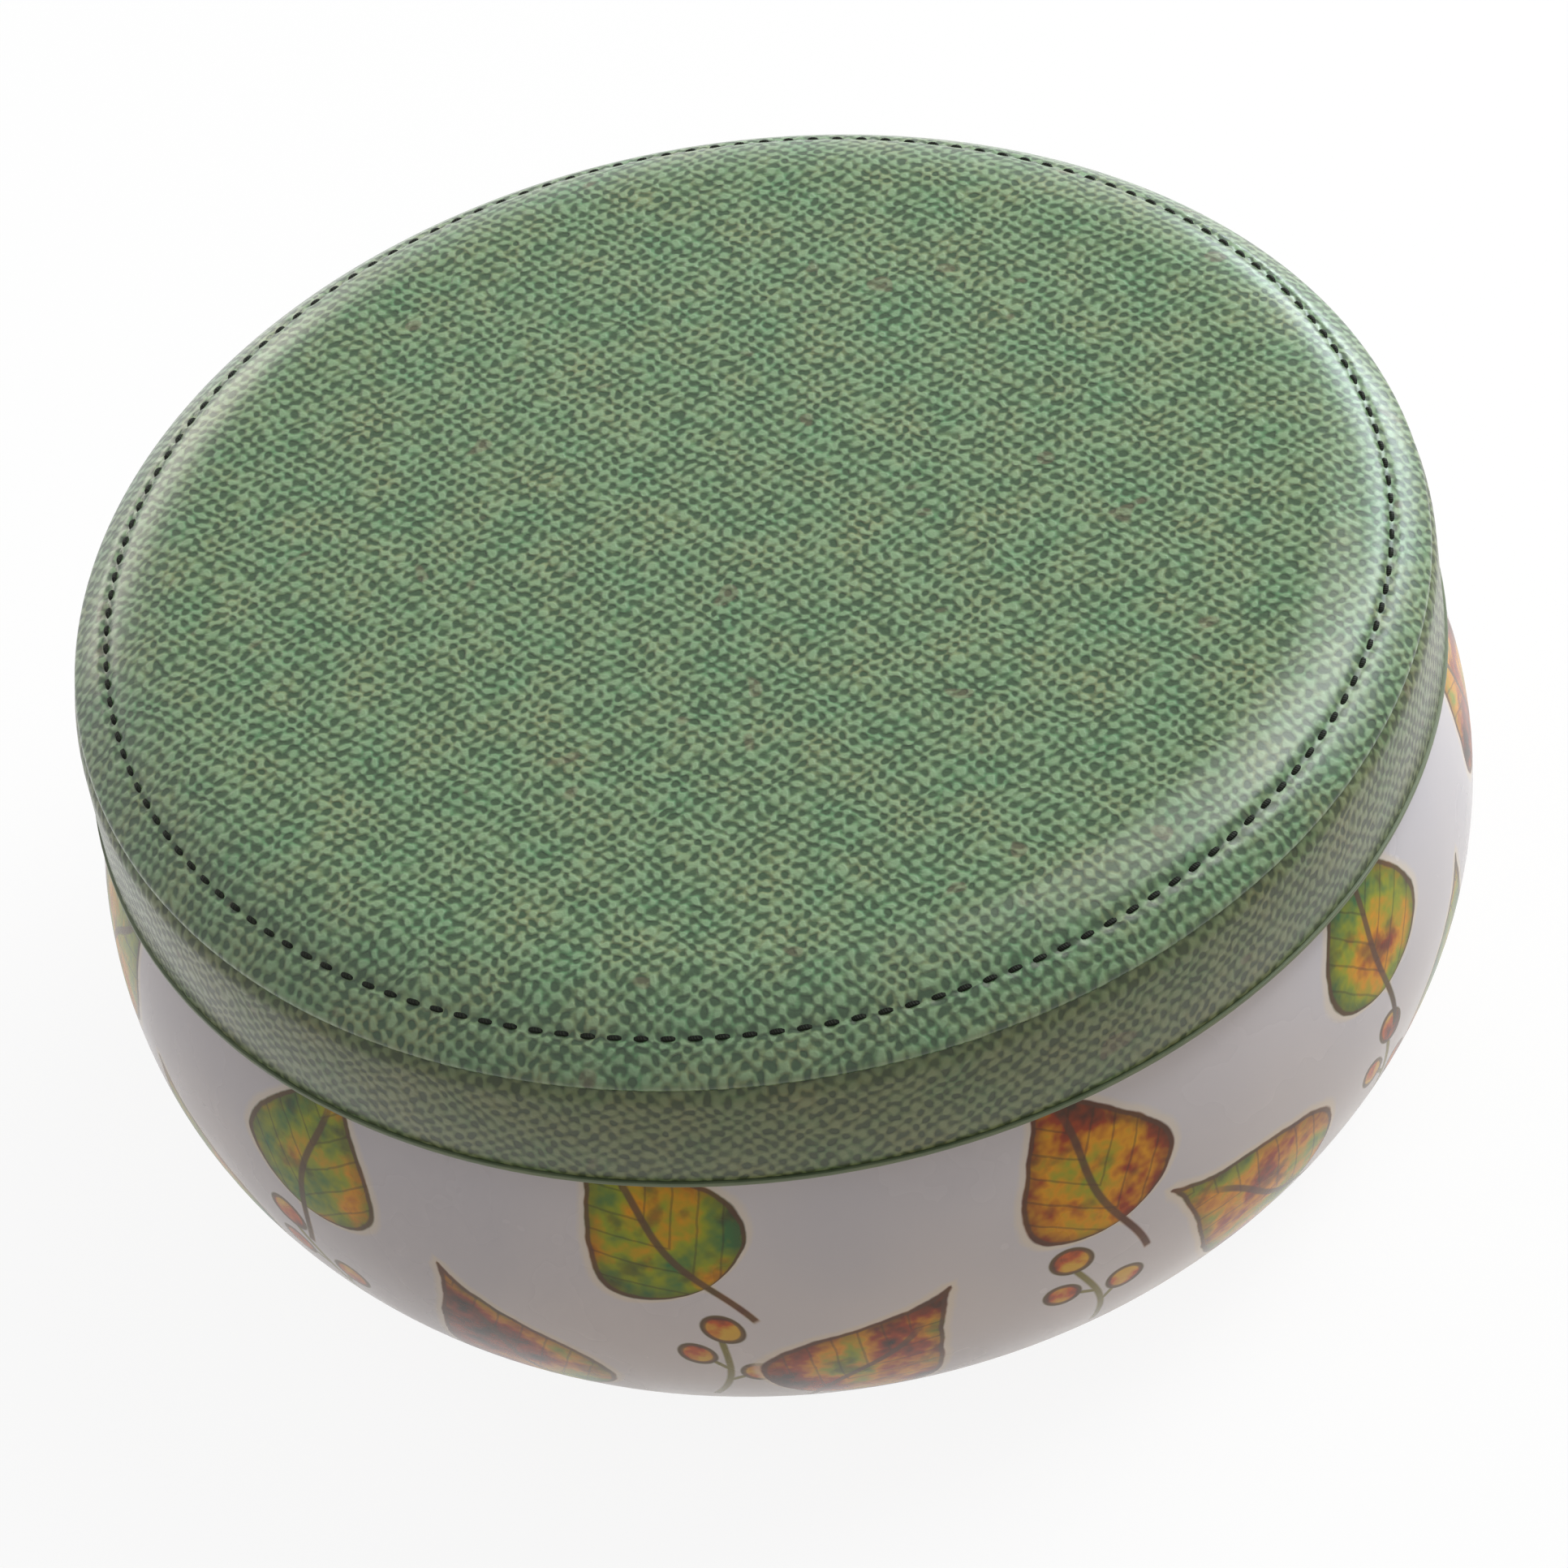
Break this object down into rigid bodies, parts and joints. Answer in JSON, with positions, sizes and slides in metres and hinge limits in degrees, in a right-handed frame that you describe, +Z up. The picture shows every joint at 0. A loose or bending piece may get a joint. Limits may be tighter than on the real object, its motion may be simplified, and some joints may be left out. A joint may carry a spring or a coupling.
{
  "type": "candy tin",
  "caption": "Low round tinplate candy tin with a bulged lacquered body and a lift-off slip lid covered in sewn, grained green leatherette.",
  "frame": {"origin": "middle of the foot, on the surface that the tin stands on", "axes": "+Z up along the tin's axis, -Y towards the viewer of the front, side seam and band joint at the back on +Y"},
  "size_m": [0.0854, 0.0856, 0.039],
  "materials": {
    "lacquered_tin": "glossy white lacquer over printed tinplate",
    "bare_tin": "bright rolled tinplate",
    "wadding": "soft felted wadding",
    "panel_leatherette": "satin pebble-grained leatherette",
    "band_leatherette": "satin fine-grained leatherette",
    "thread": "twisted polyester thread"
  },
  "bodies": {
    "tin_body": {"body_wall": "lacquered_tin", "base_plate": "bare_tin"},
    "lid": {"lid_shell": "bare_tin", "lid_pad": "wadding", "lid_top_panel": "panel_leatherette", "lid_side_band": "band_leatherette", "topstitch": "thread", "bobbin_thread": "thread"}
  },
  "joints": [
    {"name": "lid_lift", "type": "slide", "parent": "tin_body", "child": "lid", "axis": [0, 0, 1], "range_m": [0, 0.05]}
  ]
}
